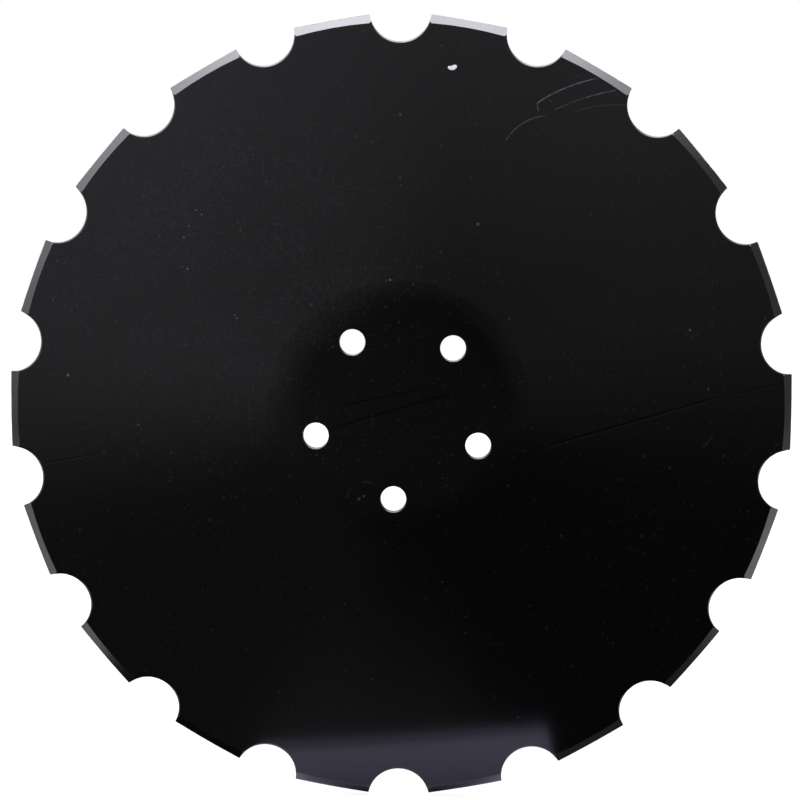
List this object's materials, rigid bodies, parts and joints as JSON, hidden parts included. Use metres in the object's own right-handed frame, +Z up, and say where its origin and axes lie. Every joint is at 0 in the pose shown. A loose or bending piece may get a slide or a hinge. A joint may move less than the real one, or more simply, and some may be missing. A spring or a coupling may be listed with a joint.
{
  "type": "notched harrow disc blade",
  "caption": "Dished steel disc blade for a compact disc harrow, with round notches, bevelled straight-edged teeth, a flat hub seat and bolt holes round its centre.",
  "frame": {"origin": "centre of the bolt circle, on the flat of the convex side, where a hub's flange sits", "axes": "the disc's axis is Y: the convex side faces -Y and the hollow side +Y; +Z is up, towards the middle of a notch; +X towards the middle of a tooth's edge"},
  "size_m": [0.4678, 0.0285, 0.4682],
  "materials": {
    "painted_steel": "satin"
  },
  "bodies": {
    "root": {"disc_blade": "painted_steel"}
  },
  "joints": []
}
